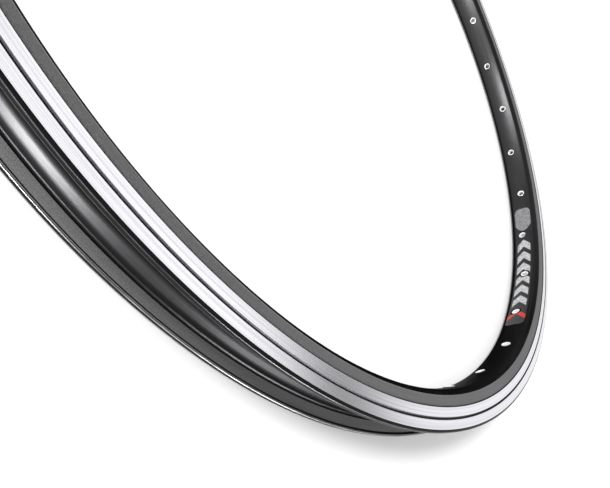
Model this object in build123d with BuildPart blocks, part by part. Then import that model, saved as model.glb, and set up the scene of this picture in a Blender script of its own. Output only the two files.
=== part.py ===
from build123d import *
from math import atan2, cos, degrees, radians, sin, tan
import os

# A bicycle rim for rim brakes: a rolled double-wall extrusion with eyelets, lying flat.
# The wheel axis is Z, the origin is the wheel centre and the valve hole lies on +X.
# Sizes are in millimetres and angles in degrees.

# Tyre seat
bead_seat_diameter = 559.0
flange_height = 7.3
flange_wall = 1.55
hook_depth = 1.0
hook_length = 0.9
hook_slope = 1.0
seat_fillet = 1.3
seat_shelf_width = 3.0
seat_shelf_drop = 0.3
well_depth = 2.4
well_slope_width = 3.6
well_fillet = 5.0

# Outer section
rim_width = 25.8
section_height = 21.2
nose_height = 1.4
nose_taper = 0.6
nose_outer_fillet = 0.5
nose_inner_fillet = 0.45
track_height = 9.8
sidewall_height = 5.1
sidewall_draw = 1.0
sidewall_fillet = 0.8
bevel_width = 3.0
bevel_fillet = 4.0
bed_crown_radius = 32.0

# Brake track grooves
wear_groove_rise = 5.0
wear_groove_width = 1.3
wear_groove_floor = 0.6
wear_groove_depth = 0.5
relief_width = 1.2
relief_depth = 0.4

# Walls round the chamber
bed_wall = 2.1
sidewall_wall = 1.4
track_wall = 1.7
well_wall = 1.3
well_slope_wall = 0.8
seat_wall = 2.0

# Spoke drilling
spoke_count = 32
spoke_stagger = 1.2
spoke_cant = 5.0
eyelet_hole_radius = 2.6
eyelet_seat_depth = 0.45
eyelet_seat_clearance = 0.2

# Eyelet
eyelet_bore_radius = 2.15
eyelet_fit_clearance = 0.05
eyelet_flange_radius = 3.2
eyelet_flange_edge = 0.3
eyelet_dome_height = 0.8
eyelet_curl_radius = 3.1
eyelet_curl_height = 0.4
eyelet_curl_clearance = 0.35

# Valve hole, butt seam and the sleeve behind it
valve_hole_radius = 4.25
seam_gap = 0.1
sleeve_length = 38.0
sleeve_wall = 1.6
sleeve_clearance = 0.1

# Foil label on the spoke bed
label_angle = 108.25
label_span = 34.0
label_width = 14.0
label_thickness = 0.2
label_glue_gap = 0.1
label_corner_radius = 4.0
label_hole_radius = 4.4

# Radii and half widths worked out from the sizes above
bead_seat_radius = bead_seat_diameter / 2
tip_radius = bead_seat_radius + flange_height
track_outer_radius = tip_radius - nose_height
track_inner_radius = track_outer_radius - track_height
wear_groove_radius = track_inner_radius + wear_groove_rise
bed_radius = tip_radius - section_height
bed_inner_radius = bed_radius + bed_wall
half_width = rim_width / 2
wall_half_width = half_width - flange_wall
lip_half_width = wall_half_width - hook_depth
shelf_half_width = wall_half_width - seat_shelf_width
shelf_radius = bead_seat_radius - seat_shelf_drop
well_radius = bead_seat_radius - well_depth
well_half_width = shelf_half_width - well_slope_width
chamber_outer_radius = well_radius - well_wall
pick_tolerance = 0.01
spoke_pitch = 360 / spoke_count
seam_angle = 180


def bed_radius_at(z):
    """Radius of the crowned spoke bed at a height from the mid-plane."""
    return bed_radius + bed_crown_radius - (bed_crown_radius**2 - z**2) ** 0.5


foot_radius = track_inner_radius - sidewall_height
foot_half_width = half_width - sidewall_draw
corner_half_width = foot_half_width - bevel_width
corner_radius = bed_radius_at(corner_half_width)
sidewall_angle = atan2(sidewall_draw, sidewall_height)
bevel_angle = atan2(bevel_width, foot_radius - corner_radius)


def sidewall_point(radius, depth=0):
    """Point on the sloping lower sidewall, or on a line at a depth behind it."""
    drop = (track_inner_radius - radius) * tan(sidewall_angle)
    return (radius, half_width - drop - depth / cos(sidewall_angle))


def bevel_point(radius, depth=0):
    """Point on the bevel between the sidewall and the bed, or on a line at a depth behind it."""
    drop = (foot_radius - radius) * tan(bevel_angle)
    return (radius, foot_half_width - drop - depth / cos(bevel_angle))


def radial_plane(angle):
    """Plane through the wheel axis: its x runs outwards at the angle and its y runs along the axis."""
    a = radians(angle)
    return Plane(origin=(0, 0, 0), x_dir=(cos(a), sin(a), 0), z_dir=(sin(a), -cos(a), 0))


def both_sides(section, radius, z):
    """The vertices of a mirrored section at a radius and at a height on either side."""
    return section.vertices().filter_by(
        lambda v: abs(v.X - radius) < pick_tolerance and abs(abs(v.Y) - z) < pick_tolerance
    )


def spoke_place(index):
    """Where a spoke hole's axis meets the bed. Its z axis leans to one hub flange, in turn."""
    side = -1 if index % 2 == 0 else 1
    turn = Location((0, 0, 0), (0, 0, (index + 0.5) * spoke_pitch))
    lean = Location((bed_radius_at(spoke_stagger), 0, side * spoke_stagger), (0, side * spoke_cant - 90, 0))
    return turn * lean


spoke_places = [spoke_place(index) for index in range(spoke_count)]
spoke_hole_depth = (bed_inner_radius + chamber_outer_radius) / 2 - bed_radius
sleeve_arc = degrees(sleeve_length / bed_inner_radius)

# Section of the hollow chamber
with BuildSketch() as chamber:
    with BuildLine():
        chamber_corner = bevel_point(bed_inner_radius, sidewall_wall)
        chamber_well = (chamber_outer_radius, well_half_width + well_slope_wall)
        chamber_side = half_width - track_wall
        wall_step = sidewall_wall / cos(bevel_angle) - sidewall_wall / cos(sidewall_angle)
        foot_r = foot_radius + wall_step / (tan(bevel_angle) - tan(sidewall_angle))
        bend_r = track_inner_radius - (track_wall - sidewall_wall / cos(sidewall_angle)) / tan(sidewall_angle)
        flank = Polyline(
            chamber_corner,
            sidewall_point(foot_r, sidewall_wall),
            sidewall_point(bend_r, sidewall_wall),
            (bead_seat_radius - seat_wall, chamber_side),
            (bead_seat_radius - seat_wall, shelf_half_width + well_slope_wall),
            chamber_well,
        )
        mirror(flank, about=Plane.XZ)
        Line(chamber_corner, (chamber_corner[0], -chamber_corner[1]))
        Line(chamber_well, (chamber_well[0], -chamber_well[1]))
    make_face()

# Rim hoop: the section turned round the wheel axis, then drilled and parted at the seam
with BuildPart() as rim_hoop:
    with BuildSketch(Plane.XZ) as section:
        with BuildLine():
            bed_corner = (corner_radius, corner_half_width)
            ThreePointArc((bed_corner[0], -bed_corner[1]), (bed_radius, 0), bed_corner)
            flank = Polyline(
                bed_corner,
                (foot_radius, foot_half_width),
                sidewall_point(track_inner_radius - relief_width),
                (track_inner_radius - relief_width / 2, half_width - relief_depth),
                (track_inner_radius, half_width),
                (wear_groove_radius - wear_groove_width / 2, half_width),
                (wear_groove_radius - wear_groove_floor / 2, half_width - wear_groove_depth),
                (wear_groove_radius + wear_groove_floor / 2, half_width - wear_groove_depth),
                (wear_groove_radius + wear_groove_width / 2, half_width),
                (track_outer_radius, half_width),
                (tip_radius, half_width - nose_taper),
                (tip_radius, lip_half_width),
                (tip_radius - hook_length, lip_half_width),
                (tip_radius - hook_length - hook_slope, wall_half_width),
                (bead_seat_radius, wall_half_width),
                (shelf_radius, shelf_half_width),
                (well_radius, well_half_width),
            )
            mirror(flank, about=Plane.XZ)
            Line((well_radius, -well_half_width), (well_radius, well_half_width))
        make_face()
        fillet(both_sides(section, corner_radius, corner_half_width), bevel_fillet)
        fillet(both_sides(section, foot_radius, foot_half_width), sidewall_fillet)
        fillet(both_sides(section, tip_radius, half_width - nose_taper), nose_outer_fillet)
        fillet(both_sides(section, tip_radius, lip_half_width), nose_inner_fillet)
        fillet(both_sides(section, bead_seat_radius, wall_half_width), seat_fillet)
        fillet(both_sides(section, shelf_radius, shelf_half_width), well_fillet)
        fillet(both_sides(section, well_radius, well_half_width), well_fillet)
        add(chamber.sketch, mode=Mode.SUBTRACT)
    revolve(axis=Axis.Z)
    with Locations(spoke_places):
        CounterBoreHole(
            radius=eyelet_hole_radius,
            counter_bore_radius=eyelet_flange_radius + eyelet_seat_clearance,
            counter_bore_depth=eyelet_seat_depth,
            depth=spoke_hole_depth,
        )
    with Locations(Location((bed_radius, 0, 0), (0, -90, 0))):
        Hole(radius=valve_hole_radius, depth=section_height)
    with Locations((-(bed_radius + section_height / 2), 0, 0)):
        Box(section_height * 2, seam_gap, rim_width * 2, mode=Mode.SUBTRACT)
rim_hoop.part.label = "rim_hoop"

# One eyelet, with its z axis along the spoke and its origin on the bed
with BuildPart() as eyelet:
    seat_z = -eyelet_seat_depth
    barrel_radius = eyelet_hole_radius - eyelet_fit_clearance
    bed_depth = (bed_inner_radius - bed_radius_at(spoke_stagger)) / cos(radians(spoke_cant))
    curl_z = -bed_depth - eyelet_curl_clearance
    with BuildSketch(Plane.XZ):
        with BuildLine():
            Polyline(
                (eyelet_bore_radius, seat_z + eyelet_dome_height),
                (eyelet_flange_radius, seat_z + eyelet_flange_edge),
                (eyelet_flange_radius, seat_z),
                (barrel_radius, seat_z),
                (barrel_radius, curl_z),
                (eyelet_curl_radius, curl_z - eyelet_curl_height),
                (eyelet_bore_radius, curl_z - eyelet_curl_height),
                close=True,
            )
        make_face()
    revolve(axis=Axis.Z)

# Spoke eyelets: one in each spoke hole
with BuildPart() as spoke_eyelets:
    with Locations(spoke_places):
        add(eyelet.part)
spoke_eyelets.part.label = "spoke_eyelets"

# Joint sleeve: a short hollow insert that fills the chamber across the seam
with BuildPart() as joint_sleeve:
    with BuildSketch(radial_plane(seam_angle - sleeve_arc / 2)):
        add(chamber.sketch)
        offset(amount=-sleeve_clearance, kind=Kind.INTERSECTION, mode=Mode.REPLACE)
        offset(amount=-sleeve_wall, kind=Kind.INTERSECTION, mode=Mode.SUBTRACT)
    revolve(axis=Axis.Z, revolution_arc=sleeve_arc)
joint_sleeve.part.label = "joint_sleeve"

# Foil label: a thin strip that follows the crowned bed, punched clear of the eyelets
with BuildPart() as rim_label:
    edge_z = label_width / 2
    back_r = bed_radius - label_glue_gap
    back_edge_r = bed_radius_at(edge_z) - label_glue_gap
    front_r = back_r - label_thickness
    front_edge_r = back_edge_r - label_thickness
    label_chord = 2 * bed_radius * sin(radians(label_span / 2))
    facing = radial_plane(label_angle)
    label_plane = Plane(origin=(0, 0, 0), x_dir=facing.z_dir, z_dir=facing.x_dir)
    with BuildSketch(radial_plane(label_angle - label_span / 2)):
        with BuildLine():
            ThreePointArc((back_edge_r, -edge_z), (back_r, 0), (back_edge_r, edge_z))
            Line((back_edge_r, edge_z), (front_edge_r, edge_z))
            ThreePointArc((front_edge_r, edge_z), (front_r, 0), (front_edge_r, -edge_z))
            Line((front_edge_r, -edge_z), (back_edge_r, -edge_z))
        make_face()
    revolve(axis=Axis.Z, revolution_arc=label_span)
    with BuildSketch(label_plane):
        RectangleRounded(label_chord, label_width, label_corner_radius)
    extrude(amount=tip_radius, mode=Mode.INTERSECT)
    with Locations(spoke_places):
        Cylinder(label_hole_radius, section_height, mode=Mode.SUBTRACT)
rim_label.part.label = "rim_label"

os.makedirs("parts", exist_ok=True)
export_step(rim_hoop.part, "parts/rim_hoop.step")
export_step(spoke_eyelets.part, "parts/spoke_eyelets.step")
export_step(joint_sleeve.part, "parts/joint_sleeve.step")
export_step(rim_label.part, "parts/rim_label.step")
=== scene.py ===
import math

import bpy
import numpy as np
from mathutils import Matrix, Vector, geometry


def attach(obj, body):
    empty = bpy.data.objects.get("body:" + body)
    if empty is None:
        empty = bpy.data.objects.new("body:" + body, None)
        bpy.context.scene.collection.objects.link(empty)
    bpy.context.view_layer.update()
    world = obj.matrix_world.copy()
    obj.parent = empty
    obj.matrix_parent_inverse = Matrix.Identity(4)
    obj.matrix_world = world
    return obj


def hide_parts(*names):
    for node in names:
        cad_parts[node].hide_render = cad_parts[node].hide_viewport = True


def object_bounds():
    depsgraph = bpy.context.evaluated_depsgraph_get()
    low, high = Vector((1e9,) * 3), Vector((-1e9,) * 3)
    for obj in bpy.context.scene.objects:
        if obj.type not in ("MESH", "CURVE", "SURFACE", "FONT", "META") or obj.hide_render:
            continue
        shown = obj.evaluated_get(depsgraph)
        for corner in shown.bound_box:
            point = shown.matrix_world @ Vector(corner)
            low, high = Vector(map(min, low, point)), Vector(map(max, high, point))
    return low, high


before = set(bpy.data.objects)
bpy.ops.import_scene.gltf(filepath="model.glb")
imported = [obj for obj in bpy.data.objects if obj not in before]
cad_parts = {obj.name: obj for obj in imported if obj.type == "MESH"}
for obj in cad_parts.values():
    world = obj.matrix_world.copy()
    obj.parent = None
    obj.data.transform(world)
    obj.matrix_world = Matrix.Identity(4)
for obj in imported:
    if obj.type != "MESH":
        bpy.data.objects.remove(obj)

cad_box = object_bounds()
MM = 0.001

# Section sizes in millimetres, as in the part's source
TIP_R, TRACK_OUT_R, TRACK_IN_R, FOOT_R, BED_R = 286.8, 285.4, 275.6, 270.5, 265.6
SEAT_R, SHELF_R, WELL_R = 279.5, 279.2, 277.1
HALF, FOOT_Z, CORNER_Z = 12.9, 11.9, 8.9
WALL_Z, LIP_Z, SHELF_Z, WELL_Z = 11.35, 10.35, 8.35, 4.75
NOSE_TAPER, HOOK_LENGTH, HOOK_SLOPE = 0.6, 0.9, 1.0
CROWN_R, BEVEL_FILLET, FOOT_FILLET = 32.0, 4.0, 0.8
GROOVE_R, GROOVE_HALF, GROOVE_FLOOR_HALF, GROOVE_DEPTH = 280.6, 0.65, 0.3, 0.5
RELIEF, RELIEF_DEPTH = 1.2, 0.4
NOSE_FILLET, LIP_FILLET, SEAT_FILLET, WELL_FILLET = 0.5, 0.45, 1.3, 5.0
BED_WALL, SIDE_WALL, TRACK_WALL, WELL_WALL, SLOPE_WALL, SEAT_WALL = 2.1, 1.4, 1.7, 1.3, 0.8, 2.0
CHAMBER_FILLET = 0.5
EDGE_BREAK, HOOK_BREAK = 0.1, 0.3
SEAM_GAP, SEAM_DEG = 0.1, 180.0
SPOKES, STAGGER, CANT_DEG = 32, 1.2, 5.0
EYELET_HOLE_R, EYELET_SEAT_R, EYELET_SEAT_DEPTH = 2.6, 3.4, 0.45
VALVE_R = 4.25
EYELET_BORE_R, EYELET_BARREL_R, EYELET_FLANGE_R = 2.15, 2.55, 3.2
EYELET_EDGE, EYELET_DOME = 0.3, 0.8
CURL_R, CURL_HEIGHT, CURL_CLEARANCE = 3.1, 0.4, 0.35
LABEL_DEG = 108.25

# Where the bevel turns from gloss black to satin; the gloss black below it is painted shade, a dark strip
# along the sidewall's inner edge
PAINTED_SHADE_EDGE_R = 269.8

# Mesh fineness, small mesh details in millimetres, and the bake map's spacing
TURN_STEPS, ARC_STEP_DEG, HOLE_STEPS, EYELET_STEPS = 384, 15.0, 40, 40
LIP_STEPS, FLANK_STEPS, CURL_EDGE, SHARP_DEG = 10, 4, 0.15, 30.0
HOLE_REACH, HOLE_OVER = 5.0, 1.5
MAP_GAP, MAP_ROWS, HIDDEN_SCALE = 1.2, 2, 0.25
MAP_CORNER = (1.0, 1.0)

# The label's print in millimetres from its middle, along the hoop
TAB_FROM, TAB_BEND = 51.0, 0.16
CHEVRON_REACH, CHEVRON_HALF = 45.0, 5.6
CHEVRON_STEP, CHEVRON_SHARE, CHEVRON_SLANT = 15.0, 0.6, 1.1
BAND_AT, BAND_HALF = -60.0, 3.0

# The usual reach of a noise's values
NOISE_LOW, NOISE_HIGH = 0.3, 0.7

# Finishes of the hoop's faces, in the order of its materials. WALL is a lighter copy of the satin black,
# painted light; CHANNEL a darker copy of the gloss black, painted shade; NOSE and LIP brighter metal that
# paints highlight lines.
GLOSS, CHANNEL, SATIN, WALL, TRACK, GROOVE, BLACK, NOSE, LIP, CHAMBER = range(10)

# Zones of the eyelets' faces: a pale, mostly diffuse copy of the plating, painted light so the shaded bores
# read white, and a dark copy on the outer flank, painted shade round each eyelet
PAINTED_LIGHT_STEEL, PAINTED_SHADE_FLANK = range(2)


def bed_r_at(z):
    """Radius of the crowned bed at a height from the mid-plane."""
    return BED_R + CROWN_R - math.sqrt(CROWN_R**2 - z**2)


def arc(centre, radius, start, end):
    """Points on a circle from one angle to the other, in radians."""
    n = max(2, math.ceil(abs(end - start) / math.radians(ARC_STEP_DEG)))
    turns = [start + (end - start) * i / n for i in range(n + 1)]
    return [(centre[0] + radius * math.cos(t), centre[1] + radius * math.sin(t)) for t in turns]


def rounded(before, corner, after, radius):
    """The arc that rounds a corner between two straight runs."""
    b, c, a = Vector(before), Vector(corner), Vector(after)
    u, v = (b - c).normalized(), (a - c).normalized()
    half = u.angle(v) / 2
    middle = c + (u + v).normalized() * radius / math.sin(half)
    p, q = c + u * radius / math.tan(half), c + v * radius / math.tan(half)
    start = math.atan2(p.y - middle.y, p.x - middle.x)
    end = math.atan2(q.y - middle.y, q.x - middle.x)
    end += 2 * math.pi * round((start - end) / (2 * math.pi))
    return arc(middle, radius, start, end)


corner_r = bed_r_at(CORNER_Z)
side_angle = math.atan2(HALF - FOOT_Z, TRACK_IN_R - FOOT_R)
bevel_angle = math.atan2(FOOT_Z - CORNER_Z, FOOT_R - corner_r)


def side_point(r, depth=0.0):
    """Point on the sloping sidewall, or on a line at a depth behind it."""
    return (r, HALF - (TRACK_IN_R - r) * math.tan(side_angle) - depth / math.cos(side_angle))


def bevel_point(r, depth=0.0):
    """Point on the bevel between the sidewall and the bed, or on a line at a depth behind it."""
    return (r, FOOT_Z - (FOOT_R - r) * math.tan(bevel_angle) - depth / math.cos(bevel_angle))


def outer_half():
    """Upper half of the outer section, from the bed's middle to the well's, with a zone for each run."""
    along = Vector((math.cos(bevel_angle), math.sin(bevel_angle)))
    inward = Vector((along.y, -along.x))
    crown = Vector((BED_R + CROWN_R, 0))
    start = Vector((corner_r, CORNER_Z)) + inward * BEVEL_FILLET - crown
    reach = CROWN_R - BEVEL_FILLET
    b = start.dot(along)
    s = -b - math.sqrt(b * b - start.length_squared + reach**2)
    middle = crown + start + along * s
    touch_crown = (middle - crown).normalized()
    out = math.atan2(touch_crown.y, touch_crown.x)
    points = arc(crown, CROWN_R, math.pi, out)
    points += arc(middle, BEVEL_FILLET, out, math.atan2(-inward.y, -inward.x))[1:]
    zones = [GLOSS] * (len(points) - 1)
    # Corner, radius, zone of the run up to it, and zones of the bend's two halves
    runs = [
        # The bevel is gloss black up to this corner: painted shade along the sidewall's inner edge
        (bevel_point(PAINTED_SHADE_EDGE_R), 0.0, GLOSS, GLOSS, GLOSS),
        ((FOOT_R, FOOT_Z), FOOT_FILLET, SATIN, SATIN, SATIN),
        (side_point(TRACK_IN_R - RELIEF), EDGE_BREAK, SATIN, SATIN, SATIN),
        ((TRACK_IN_R - RELIEF / 2, HALF - RELIEF_DEPTH), EDGE_BREAK, SATIN, GROOVE, GROOVE),
        ((TRACK_IN_R, HALF), EDGE_BREAK, GROOVE, TRACK, TRACK),
        ((GROOVE_R - GROOVE_HALF, HALF), EDGE_BREAK, TRACK, GROOVE, GROOVE),
        ((GROOVE_R - GROOVE_FLOOR_HALF, HALF - GROOVE_DEPTH), EDGE_BREAK, SATIN, SATIN, GROOVE),
        ((GROOVE_R + GROOVE_FLOOR_HALF, HALF - GROOVE_DEPTH), EDGE_BREAK, GROOVE, GROOVE, GROOVE),
        ((GROOVE_R + GROOVE_HALF, HALF), EDGE_BREAK, GROOVE, TRACK, TRACK),
        ((TRACK_OUT_R, HALF), EDGE_BREAK, TRACK, BLACK, BLACK),
        # The NOSE and LIP bends are brighter metal: painted highlight lines on the flange corners
        ((TIP_R, HALF - NOSE_TAPER), NOSE_FILLET, BLACK, NOSE, BLACK),
        ((TIP_R, LIP_Z), LIP_FILLET, BLACK, LIP, LIP),
        # The WALL runs and bends are a lighter satin: painted light on the flanges' inner walls
        ((TIP_R - HOOK_LENGTH, LIP_Z), HOOK_BREAK, WALL, BLACK, BLACK),
        ((TIP_R - HOOK_LENGTH - HOOK_SLOPE, WALL_Z), HOOK_BREAK, BLACK, BLACK, WALL),
        ((SEAT_R, WALL_Z), SEAT_FILLET, WALL, CHANNEL, CHANNEL),
        # The CHANNEL runs and bends are a darker gloss: painted shade in the tyre channel
        ((SHELF_R, SHELF_Z), WELL_FILLET, CHANNEL, CHANNEL, CHANNEL),
        ((WELL_R, WELL_Z), WELL_FILLET, CHANNEL, CHANNEL, CHANNEL),
    ]
    places = [points[-1]] + [run[0] for run in runs] + [(WELL_R, 0.0)]
    for i, (corner, radius, zone, bend_from, bend_to) in enumerate(runs):
        bend = rounded(places[i], corner, places[i + 2], radius) if radius else [corner]
        half = (len(bend) - 1) // 2
        points += bend
        zones += [zone] + [bend_from] * half + [bend_to] * (len(bend) - 1 - half)
    return points + [places[-1]], zones + [CHANNEL]


def chamber_half():
    """Upper half of the hollow's section, from the bed side to the well side."""
    step = SIDE_WALL / math.cos(bevel_angle) - SIDE_WALL / math.cos(side_angle)
    foot = FOOT_R + step / (math.tan(bevel_angle) - math.tan(side_angle))
    bend = TRACK_IN_R - (TRACK_WALL - SIDE_WALL / math.cos(side_angle)) / math.tan(side_angle)
    places = [
        (BED_R + BED_WALL, 0.0),
        bevel_point(BED_R + BED_WALL, SIDE_WALL),
        side_point(foot, SIDE_WALL),
        side_point(bend, SIDE_WALL),
        (SEAT_R - SEAT_WALL, HALF - TRACK_WALL),
        (SEAT_R - SEAT_WALL, SHELF_Z + SLOPE_WALL),
        (WELL_R - WELL_WALL, WELL_Z + SLOPE_WALL),
        (WELL_R - WELL_WALL, 0.0),
    ]
    points = [places[0]]
    for before, at, after in zip(places, places[1:], places[2:]):
        points += rounded(before, at, after, CHAMBER_FILLET)
    return points + [places[-1]]


def mirrored(half, zones):
    """The closed section from its upper half, which starts and ends on the mid-plane."""
    low = [(r, -z) for r, z in half[-2:0:-1]]
    return half + low, zones + zones[::-1]


def mesh_object(name, verts, faces, zones, uvs, materials):
    """An object in metres from millimetre vertices, with a zone for each face and the bake's UV map."""
    mesh = bpy.data.meshes.new(name)
    mesh.from_pydata([(x * MM, y * MM, z * MM) for x, y, z in verts], [], faces)
    for finish in materials:
        mesh.materials.append(finish)
    mesh.polygons.foreach_set("material_index", np.array(zones, np.int32))
    mesh.polygons.foreach_set("use_smooth", np.ones(len(faces), bool))
    layer = mesh.uv_layers.new(name="OFBake")
    layer.uv.foreach_set("vector", np.array(uvs, np.float32).ravel())
    obj = bpy.data.objects.new(name, mesh)
    bpy.context.scene.collection.objects.link(obj)
    return obj


def strips(points, zones, scale, start):
    """Where each run of a closed section lies across the bake's map, with a gap where the zone changes."""
    places, at = [], start
    for i, zone in enumerate(zones):
        a, b = Vector(points[i]), Vector(points[(i + 1) % len(points)])
        at += MAP_GAP if i and zone != zones[i - 1] else 0.0
        places.append((at, at + (b - a).length * scale))
        at = places[-1][1]
    return places, at + MAP_GAP


def place(index):
    """Where a spoke hole's axis meets the bed, with its z axis leaning to one hub flange, in turn."""
    side = -1 if index % 2 == 0 else 1
    turn = Matrix.Rotation(math.radians((index + 0.5) * 360 / SPOKES), 4, "Z")
    step = Matrix.Translation((bed_r_at(STAGGER), 0, side * STAGGER))
    return turn @ step @ Matrix.Rotation(math.radians(side * CANT_DEG - 90), 4, "Y")


def hoop_object(materials):
    """The hoop turned round the axis from seam to seam, with its hollow and the two faces at the seam."""
    outer, outer_zones = mirrored(*outer_half())
    half = chamber_half()
    chamber, chamber_zones = mirrored(half, [CHAMBER] * (len(half) - 1))
    outer_map, edge = strips(outer, outer_zones, 1.0, MAP_GAP)
    chamber_map, edge = strips(chamber, chamber_zones, HIDDEN_SCALE, edge)
    gap = math.degrees(SEAM_GAP / 2 / SEAT_R)
    turns = np.radians(np.linspace(SEAM_DEG + gap, SEAM_DEG + 360 - gap, TURN_STEPS + 1))
    points = np.array(outer + chamber)
    ring = len(points)
    verts = np.empty((TURN_STEPS + 1, ring, 3))
    verts[:, :, 0] = np.outer(np.cos(turns), points[:, 0])
    verts[:, :, 1] = np.outer(np.sin(turns), points[:, 0])
    verts[:, :, 2] = points[:, 1]
    faces, zones, uvs = [], [], []
    row = TURN_STEPS // MAP_ROWS
    for k in range(TURN_STEPS):
        a, b = k * ring, (k + 1) * ring
        u, w = (k % row) / row, (k % row + 1) / row
        up = k // row / MAP_ROWS
        for base, count, run_zones, run_map in (
            (0, len(outer), outer_zones, outer_map),
            (len(outer), len(chamber), chamber_zones, chamber_map),
        ):
            for j in range(count):
                p, q = base + j, base + (j + 1) % count
                v0, v1 = (up + v / edge / MAP_ROWS for v in run_map[j])
                quad = [a + p, a + q, b + q, b + p]
                spots = [(u, v0), (u, v1), (w, v1), (w, v0)]
                faces.append(quad if base == 0 else quad[::-1])
                uvs += spots if base == 0 else spots[::-1]
                zones.append(run_zones[j])
    flat = [[Vector((r, z, 0)) for r, z in loop] for loop in (outer, chamber)]
    last = TURN_STEPS * ring
    for tri in geometry.tessellate_polygon(flat):
        (r0, z0), (r1, z1), (r2, z2) = (points[i] for i in tri)
        tri = tri if (r1 - r0) * (z2 - z0) > (r2 - r0) * (z1 - z0) else tri[::-1]
        faces += [list(tri), [last + i for i in tri[::-1]]]
        zones += [CHAMBER, CHAMBER]
        uvs += [MAP_CORNER] * 2 * len(tri)
    return mesh_object("rim_hoop_shell", verts.reshape(-1, 3), faces, zones, uvs, materials)


def lathed(profile, matrix, steps, ring):
    """Vertices and faces of a profile turned round its z axis: a closed ring, or a solid with flat ends."""
    count = len(profile)
    verts = []
    for k in range(steps):
        t = 2 * math.pi * k / steps
        verts += [matrix @ Vector((r * math.cos(t), r * math.sin(t), z)) for r, z in profile]
    faces = []
    for k in range(steps):
        a, b = k * count, (k + 1) % steps * count
        for j in range(count if ring else count - 1):
            p, q = j, (j + 1) % count
            faces.append([a + p, b + p, b + q, a + q])
    if not ring:
        faces.append([k * count for k in range(steps)][::-1])
        faces.append([k * count + count - 1 for k in range(steps)])
    return verts, faces


def gathered(name, solids, zone_of, materials):
    """One object from several solids, with zones by a face's place in its solid, and no room on the map."""
    verts, faces, zones, uvs = [], [], [], []
    for solid_verts, solid_faces in solids:
        start = len(verts)
        verts += [tuple(v) for v in solid_verts]
        for place_in, face in enumerate(solid_faces):
            faces.append([start + i for i in face])
            zones.append(zone_of(place_in))
            uvs += [(i / len(face), 1.0) for i in range(len(face))]
    return mesh_object(name, verts, faces, zones, uvs, materials)


def drilled(hoop, materials):
    """Cuts the spoke holes with their eyelet seats, and the valve hole."""
    seat = [
        (EYELET_HOLE_R, -HOLE_REACH),
        (EYELET_HOLE_R, -EYELET_SEAT_DEPTH),
        (EYELET_SEAT_R, -EYELET_SEAT_DEPTH),
        (EYELET_SEAT_R, HOLE_OVER),
    ]
    solids = [lathed(seat, place(i), HOLE_STEPS, False) for i in range(SPOKES)]
    valve = [(VALVE_R, BED_R - HOLE_OVER), (VALVE_R, TIP_R)]
    solids.append(lathed(valve, Matrix.Rotation(math.pi / 2, 4, "Y"), HOLE_STEPS, False))
    cutter = gathered("cutter", solids, lambda place_in: GLOSS, materials)
    cut = hoop.modifiers.new("holes", "BOOLEAN")
    cut.object, cut.operation, cut.solver, cut.material_mode = cutter, "DIFFERENCE", "EXACT", "INDEX"
    evaluated = hoop.evaluated_get(bpy.context.evaluated_depsgraph_get())
    mesh = bpy.data.meshes.new_from_object(evaluated)
    hoop.modifiers.clear()
    hoop.data = mesh
    bpy.data.objects.remove(cutter)
    mesh.set_sharp_from_angle(angle=math.radians(SHARP_DEG))
    even = hoop.modifiers.new("even shading", "WEIGHTED_NORMAL")
    even.keep_sharp = True


def eyelet_profile():
    """Section of an eyelet: a rounded lip on the bed, a barrel through it and a rolled inner end."""
    seat = -EYELET_SEAT_DEPTH
    wall = (BED_R + BED_WALL - bed_r_at(STAGGER)) / math.cos(math.radians(CANT_DEG))
    curl = -wall - CURL_CLEARANCE
    top, middle = seat + EYELET_DOME, (EYELET_BORE_R + EYELET_FLANGE_R) / 2
    half, rise = (EYELET_FLANGE_R - EYELET_BORE_R) / 2, EYELET_DOME - EYELET_EDGE
    turns = [math.pi * i / LIP_STEPS for i in range(LIP_STEPS + 1)]
    lip = [(middle + half * math.cos(t), top - rise + rise * math.sin(t)) for t in turns]
    return [
        (EYELET_BORE_R, curl - CURL_HEIGHT),
        (CURL_R - CURL_EDGE, curl - CURL_HEIGHT),
        (CURL_R, curl - CURL_HEIGHT + CURL_EDGE),
        (EYELET_BARREL_R, curl),
        (EYELET_BARREL_R, seat),
        (EYELET_FLANGE_R, seat),
    ] + lip


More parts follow.
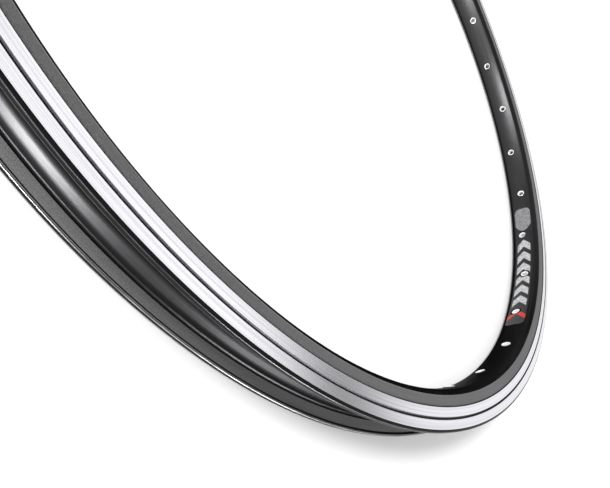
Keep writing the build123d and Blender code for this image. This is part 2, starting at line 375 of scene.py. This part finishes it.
class Net:
    """Builds a node tree with short calls."""

    def __init__(self, tree):
        self.tree = tree
        tree.nodes.clear()

    def add(self, kind, **settings):
        node = self.tree.nodes.new("ShaderNode" + kind)
        for key, value in settings.items():
            setattr(node, key, value)
        return node

    def put(self, socket, value):
        if isinstance(value, bpy.types.NodeSocket):
            self.tree.links.new(value, socket)
        else:
            socket.default_value = value

    def math(self, operation, *values):
        node = self.add("Math", operation=operation)
        for socket, value in zip(node.inputs, values):
            self.put(socket, value)
        return node.outputs[0]

    def vector(self, x, y, z):
        node = self.add("CombineXYZ")
        for socket, value in zip(node.inputs, (x, y, z)):
            self.put(socket, value)
        return node.outputs[0]

    def scale(self, value, low, high, to_low, to_high):
        """Maps one range smoothly to another and holds at its ends."""
        node = self.add("MapRange", interpolation_type="SMOOTHSTEP")
        for socket, v in zip(node.inputs, (value, low, high, to_low, to_high)):
            self.put(socket, v)
        return node.outputs[0]

    def mix(self, factor, a, b):
        node = self.add("Mix", data_type="RGBA")
        self.put(node.inputs["Factor"], factor)
        self.put(next(s for s in node.inputs if s.identifier == "A_Color"), a)
        self.put(next(s for s in node.inputs if s.identifier == "B_Color"), b)
        return next(s for s in node.outputs if s.identifier == "Result_Color")

    def vary(self, noise, low, high):
        """Maps a noise's usual reach to a range."""
        return self.scale(noise, NOISE_LOW, NOISE_HIGH, low, high)

    def contrast(self, noise, margin):
        """Stretches a noise to run from 0 to 1, with a margin cut off at both ends."""
        return self.scale(noise, margin, 1 - margin, 0.0, 1.0)

    def blend(self, a, b, share):
        """A sum of two noises, with a share for the second."""
        return self.math("ADD", self.math("MULTIPLY", a, 1 - share), self.math("MULTIPLY", b, share))

    def noise(self, spot, waves, detail=2.0, rough=0.5):
        """Noise at a spot, with its own count of waves per millimetre on each axis."""
        node = self.add("TexNoise")
        steps = (self.math("MULTIPLY", p, w) for p, w in zip(spot, waves))
        self.put(node.inputs["Vector"], self.vector(*steps))
        self.put(node.inputs["Scale"], 1.0)
        self.put(node.inputs["Detail"], detail)
        self.put(node.inputs["Roughness"], rough)
        return node.outputs[0]

    def bump(self, height, depth, strength):
        """Relief with a depth in millimetres."""
        node = self.add("Bump")
        self.put(node.inputs["Height"], height)
        self.put(node.inputs["Distance"], depth * MM)
        self.put(node.inputs["Strength"], strength)
        return node.outputs[0]

    def space(self):
        """x, y and z in millimetres."""
        split = self.add("SeparateXYZ")
        self.put(split.inputs[0], self.add("TexCoord").outputs["Object"])
        return [self.math("MULTIPLY", split.outputs[i], 1 / MM) for i in range(3)]

    def ring(self):
        """The radius, the distance along the hoop and the height, in millimetres."""
        x, y, z = self.space()
        r = self.math("SQRT", self.math("ADD", self.math("MULTIPLY", x, x), self.math("MULTIPLY", y, y)))
        return r, self.math("MULTIPLY", self.math("ARCTAN2", y, x), BED_R), z

    def surface(self, values):
        """A Principled shader with these sockets set or linked."""
        shader = self.add("BsdfPrincipled")
        for name, value in values.items():
            self.put(shader.inputs[name], value)
        self.put(self.add("OutputMaterial").inputs["Surface"], shader.outputs[0])


def material(name):
    made = bpy.data.materials.new(name)
    made.use_nodes = True
    return made, Net(made.node_tree)


def grey(level, blue):
    """A grey with its own level of blue."""
    return (level, level, blue, 1)


def gloss_black(name, dark, pale):
    """Black anodising with a dark metal sheen that dies at a glancing angle, and faint drawn lines."""
    made, net = material(name)
    lines = net.noise(net.ring(), (2.5, 0.01, 2.5), detail=3.0)
    cloud = net.noise(net.space(), (0.03, 0.03, 0.12))
    net.surface({
        "Base Color": net.mix(net.blend(cloud, lines, share=0.5), dark, pale),
        "Metallic": 1.0,
        "Specular Tint": grey(0.05, 0.05),
        "Roughness": net.vary(lines, 0.32, 0.4),
        "Normal": net.bump(lines, depth=0.01, strength=0.3),
    })
    return made


def satin_black(name, dark, pale):
    """Blasted black anodising: a fine grain of light and dark specks over slow changes of tone."""
    made, net = material(name)
    grain = net.noise(net.space(), (2.2, 2.2, 2.2), detail=3.0, rough=0.6)
    lines = net.noise(net.ring(), (2.0, 0.02, 2.0))
    net.surface({
        "Base Color": net.mix(net.contrast(net.blend(grain, lines, share=0.2), margin=0.32), dark, pale),
        "Roughness": net.vary(grain, 0.46, 0.6),
        "IOR": 1.5,
        "Normal": net.bump(grain, depth=0.04, strength=0.5),
    })
    return made


def edge_black(name, dark, pale):
    """Black anodising on the flange edges, with faint turned lines."""
    made, net = material(name)
    lines = net.noise(net.ring(), (3.0, 0.01, 3.0))
    net.surface({
        "Base Color": net.mix(lines, dark, pale),
        "Specular IOR Level": 0.1,
        "Roughness": net.vary(lines, 0.35, 0.45),
        "Normal": net.bump(lines, depth=0.01, strength=0.3),
    })
    return made


def painted_highlight_edge(name, dark, pale):
    """A flange corner in brighter metal than the black, a painted highlight line, with patches of lighter
    and darker tone.
    """
    made, net = material(name)
    patches = net.noise(net.space(), (0.09, 0.09, 0.09), detail=4.0, rough=0.6)
    fine = net.noise(net.ring(), (3.0, 0.05, 3.0))
    net.surface({
        "Base Color": net.mix(net.contrast(net.blend(patches, fine, share=0.3), margin=0.35), dark, pale),
        "Metallic": 1.0,
        "Roughness": net.vary(fine, 0.28, 0.38),
    })
    return made


def groove_black(name, dark, pale):
    """Matt black at the bottom of the turned grooves."""
    made, net = material(name)
    lines = net.noise(net.ring(), (4.0, 0.01, 4.0))
    net.surface({
        "Base Color": net.mix(lines, dark, pale),
        "Specular IOR Level": 0.08,
        "Roughness": net.vary(lines, 0.45, 0.6),
    })
    return made


def machined(name, dark, pale):
    """Machined brake track: fine turned lines, streaks that run a short way round and a brushed sheen."""
    made, net = material(name)
    fine = net.noise(net.ring(), (6.0, 0.004, 0.0), detail=3.0)
    broad = net.noise(net.ring(), (1.3, 0.006, 0.0))
    tone = net.blend(fine, broad, share=0.55)
    net.surface({
        "Base Color": net.mix(net.contrast(tone, margin=0.35), dark, pale),
        "Metallic": 1.0,
        "Roughness": net.vary(tone, 0.24, 0.16),
        "Anisotropic": 0.85,
        "Anisotropic Rotation": 0.25,
        "Tangent": net.add("Tangent", direction_type="RADIAL", axis="Z").outputs[0],
        "Normal": net.bump(fine, depth=0.01, strength=0.4),
    })
    return made


def plated(name, dark, pale, metal, rough):
    """Plated steel with a faint orange-peel, in a pale copy that paints light and a dark copy that paints
    shade.
    """
    made, net = material(name)
    peel = net.noise(net.space(), (1.6, 1.6, 1.6))
    net.surface({
        "Base Color": net.mix(peel, dark, pale),
        "Metallic": metal,
        "Roughness": net.vary(peel, *rough),
        "Normal": net.bump(peel, depth=0.03, strength=0.3),
    })
    return made


def mill(name, dark, pale, rough):
    """Unfinished extruded alloy with die lines along the hoop."""
    made, net = material(name)
    lines = net.noise(net.ring(), (2.0, 0.01, 2.0), detail=4.0, rough=0.6)
    net.surface({
        "Base Color": net.mix(net.vary(lines, 0.0, 1.0), dark, pale),
        "Metallic": 1.0,
        "Roughness": net.vary(lines, *rough),
        "Normal": net.bump(lines, depth=0.04, strength=0.5),
    })
    return made


def label_print(name):
    """Printed foil: a dark field with a grey tab at one end, pale chevrons and a red band at the other."""
    made, net = material(name)
    _, along, z = net.ring()
    u = net.math("SUBTRACT", along, math.radians(LABEL_DEG) * BED_R)
    v = net.math("ABSOLUTE", z)
    bend = net.math("MULTIPLY", net.math("MULTIPLY", v, v), TAB_BEND)
    tab = net.math("GREATER_THAN", net.math("SUBTRACT", u, bend), TAB_FROM)
    slant = net.math("ADD", u, net.math("MULTIPLY", v, CHEVRON_SLANT))
    wave = net.math("FRACT", net.math("DIVIDE", slant, CHEVRON_STEP))
    row = net.math("LESS_THAN", net.math("ABSOLUTE", slant), CHEVRON_REACH)
    inside = net.math("LESS_THAN", v, CHEVRON_HALF)
    chevron = net.math("LESS_THAN", wave, CHEVRON_SHARE)
    chevron = net.math("MULTIPLY", chevron, net.math("MULTIPLY", row, inside))
    from_band = net.math("ABSOLUTE", net.math("SUBTRACT", slant, BAND_AT))
    band = net.math("LESS_THAN", from_band, BAND_HALF)
    scuff = net.noise(net.space(), (0.5, 0.5, 0.5), detail=3.0, rough=0.6)
    flake = net.noise(net.space(), (5.0, 5.0, 5.0), detail=1.0)
    worn = net.contrast(net.blend(scuff, flake, share=0.4), margin=0.35)
    dark = net.mix(scuff, grey(0.006, 0.007), grey(0.022, 0.024))
    pale = net.mix(worn, grey(0.26, 0.27), grey(0.6, 0.61))
    tab_grey = net.mix(worn, grey(0.14, 0.145), grey(0.3, 0.31))
    red = net.mix(scuff, (0.42, 0.012, 0.01, 1), (0.6, 0.03, 0.02, 1))
    colour = net.mix(chevron, dark, pale)
    colour = net.mix(tab, colour, tab_grey)
    net.surface({
        "Base Color": net.mix(band, colour, red),
        "Specular IOR Level": 0.2,
        "Roughness": net.vary(scuff, 0.3, 0.45),
        "Normal": net.bump(scuff, depth=0.03, strength=0.3),
    })
    return made


hoop_materials = [
    gloss_black("gloss_black", grey(0.032, 0.033), grey(0.05, 0.051)),
    # A darker copy of the gloss black: painted shade in the recessed tyre channel
    gloss_black("channel_gloss_painted_shade", grey(0.022, 0.023), grey(0.038, 0.039)),
    satin_black("satin_black", grey(0.055, 0.057), grey(0.125, 0.128)),
    # A lighter copy of the satin black: painted light on the flanges' shaded inner walls and hook lips
    satin_black("wall_satin_painted_light", grey(0.16, 0.162), grey(0.32, 0.323)),
    machined("machined_track", grey(0.76, 0.8), grey(0.9, 0.93)),
    groove_black("groove_black", grey(0.003, 0.004), grey(0.01, 0.012)),
    edge_black("edge_black", grey(0.003, 0.004), grey(0.009, 0.01)),
    # Brighter metal on the flange corners: painted highlight lines
    painted_highlight_edge("nose_painted_highlight", grey(0.1, 0.102), grey(0.2, 0.203)),
    painted_highlight_edge("lip_painted_highlight", grey(0.12, 0.123), grey(0.25, 0.253)),
    mill("chamber_alloy", grey(0.2, 0.21), grey(0.32, 0.33), rough=(0.45, 0.6)),
]
hoop = hoop_object(hoop_materials)
drilled(hoop, hoop_materials)
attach(hoop, "root")
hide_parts("rim_hoop")

eyelet = eyelet_profile()
flank_from = len(eyelet) - LIP_STEPS - 2
flank = range(flank_from, flank_from + FLANK_STEPS)
# The outer flanks get a dark copy of the plating, painted shade round each eyelet, and the rest a pale,
# mostly diffuse copy, painted light in the shaded bores
eyelets = gathered(
    "spoke_eyelet_rings",
    [lathed(eyelet, place(i), EYELET_STEPS, True) for i in range(SPOKES)],
    lambda place_in: PAINTED_SHADE_FLANK if place_in % len(eyelet) in flank else PAINTED_LIGHT_STEEL,
    [
        plated("plated_steel", grey(0.88, 0.87), grey(0.95, 0.94), metal=0.15, rough=(0.3, 0.42)),
        plated("plated_flank_painted_shade", grey(0.1, 0.102), grey(0.22, 0.222), metal=1.0, rough=(0.25, 0.37)),
    ],
)
eyelets.data.set_sharp_from_angle(angle=math.radians(SHARP_DEG))
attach(eyelets, "root")
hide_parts("spoke_eyelets")

for node, made in (
    ("joint_sleeve", mill("plain_alloy", grey(0.6, 0.62), grey(0.78, 0.8), rough=(0.35, 0.5))),
    ("rim_label", label_print("label_foil")),
):
    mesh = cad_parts[node].data
    mesh.materials.clear()
    mesh.materials.append(made)

# Camera, from the fitted view of the photograph
CAMERA_AT = Vector((0.35617, 0.10234, 0.12766))
CAMERA_TO = Vector((0.20223, 0.12431, 0.0129))
CAMERA_UP = Vector((-0.64803, -0.76162, 0.0))
FOCAL_PX, WIDTH_PX, SENSOR = 515.3, 610, 36.0
CLIP_NEAR, CLIP_FAR = 0.01, 100.0
camera = bpy.data.objects.new("camera", bpy.data.cameras.new("camera"))
bpy.context.scene.collection.objects.link(camera)
ahead = (CAMERA_TO - CAMERA_AT).normalized()
right = ahead.cross(CAMERA_UP).normalized()
above = right.cross(ahead)
camera.matrix_world = Matrix((
    (right.x, above.x, -ahead.x, CAMERA_AT.x),
    (right.y, above.y, -ahead.y, CAMERA_AT.y),
    (right.z, above.z, -ahead.z, CAMERA_AT.z),
    (0, 0, 0, 1),
))
camera.data.sensor_width = SENSOR
camera.data.lens = SENSOR * FOCAL_PX / WIDTH_PX
camera.data.clip_start, camera.data.clip_end = CLIP_NEAR, CLIP_FAR
bpy.context.scene.camera = camera

# Light, in degrees from the camera's heading and above the floor
HALF_TURN = 180.0
AHEAD_MIDDLE, AHEAD_HALF, AHEAD_FADE = 10.0, 40.0, 25.0
SWEEP_TOP, SWEEP_FADE, SWEEP_LEVEL = 38.0, 10.0, 1.0
BOX_LOW, BOX_EDGE, BOX_HIGH, BOX_FADE, BOX_LEVEL = 41.5, 1.0, 58.0, 14.0, 1.3
GAP_LEVEL = 0.08
ROUND_LOW, ROUND_HIGH, ROUND_NEAR, ROUND_ABOVE = 8.0, 32.0, 0.85, 0.4
KEY_TURN, KEY_RISE, KEY_SPREAD, KEY_POWER = 128.0, 44.0, 20.0, 2.3
FILL_TURN, FILL_RISE, FILL_SPREAD, FILL_POWER = -125.0, 42.0, 90.0, 0.5
# Low lights that only glossy surfaces show: turn, rise, spread and power
SHEENS = (
    (-166.0, 2.0, 16.0, 10.0),
    (-100.0, 10.0, 30.0, 6.0),
    (138.0, 5.0, 14.0, 2.5),
)

# Floor, with a faint glow that only the camera and mirrored rays see
FLOOR_HALF, FLOOR_TONE, FLOOR_GLOW = 30.0, 0.94, 0.15
floor_z = cad_box[0][2]
floor_mesh = bpy.data.meshes.new("floor")
corners = [(x * FLOOR_HALF, y * FLOOR_HALF, floor_z) for x, y in ((-1, -1), (1, -1), (1, 1), (-1, 1))]
floor_mesh.from_pydata(corners, [], [(0, 1, 2, 3)])
floor = bpy.data.objects.new("floor", floor_mesh)
bpy.context.scene.collection.objects.link(floor)
made, net = material("floor_white")
rays = net.add("LightPath")
seen = net.math("MAXIMUM", rays.outputs["Is Camera Ray"], rays.outputs["Is Glossy Ray"])
seen = net.math("MAXIMUM", seen, rays.outputs["Is Transmission Ray"])
net.surface({
    "Base Color": grey(FLOOR_TONE, FLOOR_TONE),
    "Roughness": 0.9,
    "Specular IOR Level": 0.0,
    "Emission Color": grey(1, 1),
    "Emission Strength": net.math("MULTIPLY", seen, FLOOR_GLOW),
})
floor_mesh.materials.append(made)

# Studio surroundings: pale all round, with a bright sweep ahead of the camera and a softbox above it
heading = math.degrees(math.atan2(ahead.y, ahead.x))
world = bpy.data.worlds.new("studio")
bpy.context.scene.world = world
world.use_nodes = True
net = Net(world.node_tree)
way = net.add("SeparateXYZ")
net.put(way.inputs[0], net.add("TexCoord").outputs["Generated"])
rise = net.math("DEGREES", net.math("ARCSINE", way.outputs[2]))
turn = net.math("DEGREES", net.math("ARCTAN2", way.outputs[1], way.outputs[0]))
turn = net.math("WRAP", net.math("SUBTRACT", turn, heading), HALF_TURN, -HALF_TURN)
aside = net.math("ABSOLUTE", net.math("SUBTRACT", turn, AHEAD_MIDDLE))
front = net.scale(aside, AHEAD_HALF, AHEAD_HALF + AHEAD_FADE, 1.0, 0.0)
sweep = net.scale(rise, SWEEP_TOP - SWEEP_FADE, SWEEP_TOP, SWEEP_LEVEL, GAP_LEVEL)
box = net.scale(rise, BOX_LOW - BOX_EDGE, BOX_LOW + BOX_EDGE, 0.0, BOX_LEVEL - GAP_LEVEL)
top = net.scale(rise, BOX_HIGH, BOX_HIGH + BOX_FADE, 1.0, 0.0)
around = net.scale(rise, ROUND_LOW, ROUND_HIGH, ROUND_NEAR, ROUND_ABOVE)
more = net.math("SUBTRACT", net.math("ADD", sweep, box), around)
level = net.math("ADD", around, net.math("MULTIPLY", net.math("MULTIPLY", more, top), front))
back = net.add("Background")
net.put(back.inputs["Color"], grey(1, 1))
net.put(back.inputs["Strength"], level)
net.put(net.add("OutputWorld").inputs["Surface"], back.outputs[0])


def soft_sun(name, turn, rise, spread_deg, power):
    """An even light from a wide disc of sky, placed by its angle from the camera's heading."""
    a, e = math.radians(heading + turn), math.radians(rise)
    lamp = bpy.data.lights.new(name, "SUN")
    lamp.angle, lamp.energy = math.radians(spread_deg), power
    obj = bpy.data.objects.new(name, lamp)
    bpy.context.scene.collection.objects.link(obj)
    out = Vector((math.cos(a) * math.cos(e), math.sin(a) * math.cos(e), math.sin(e)))
    obj.rotation_euler = out.to_track_quat("Z", "Y").to_euler()
    return obj


soft_sun("key", KEY_TURN, KEY_RISE, KEY_SPREAD, KEY_POWER).visible_glossy = False
soft_sun("fill", FILL_TURN, FILL_RISE, FILL_SPREAD, FILL_POWER).visible_glossy = False
for sheen in SHEENS:
    soft_sun("sheen", *sheen).visible_diffuse = False

bpy.context.scene.view_settings.view_transform = "Standard"
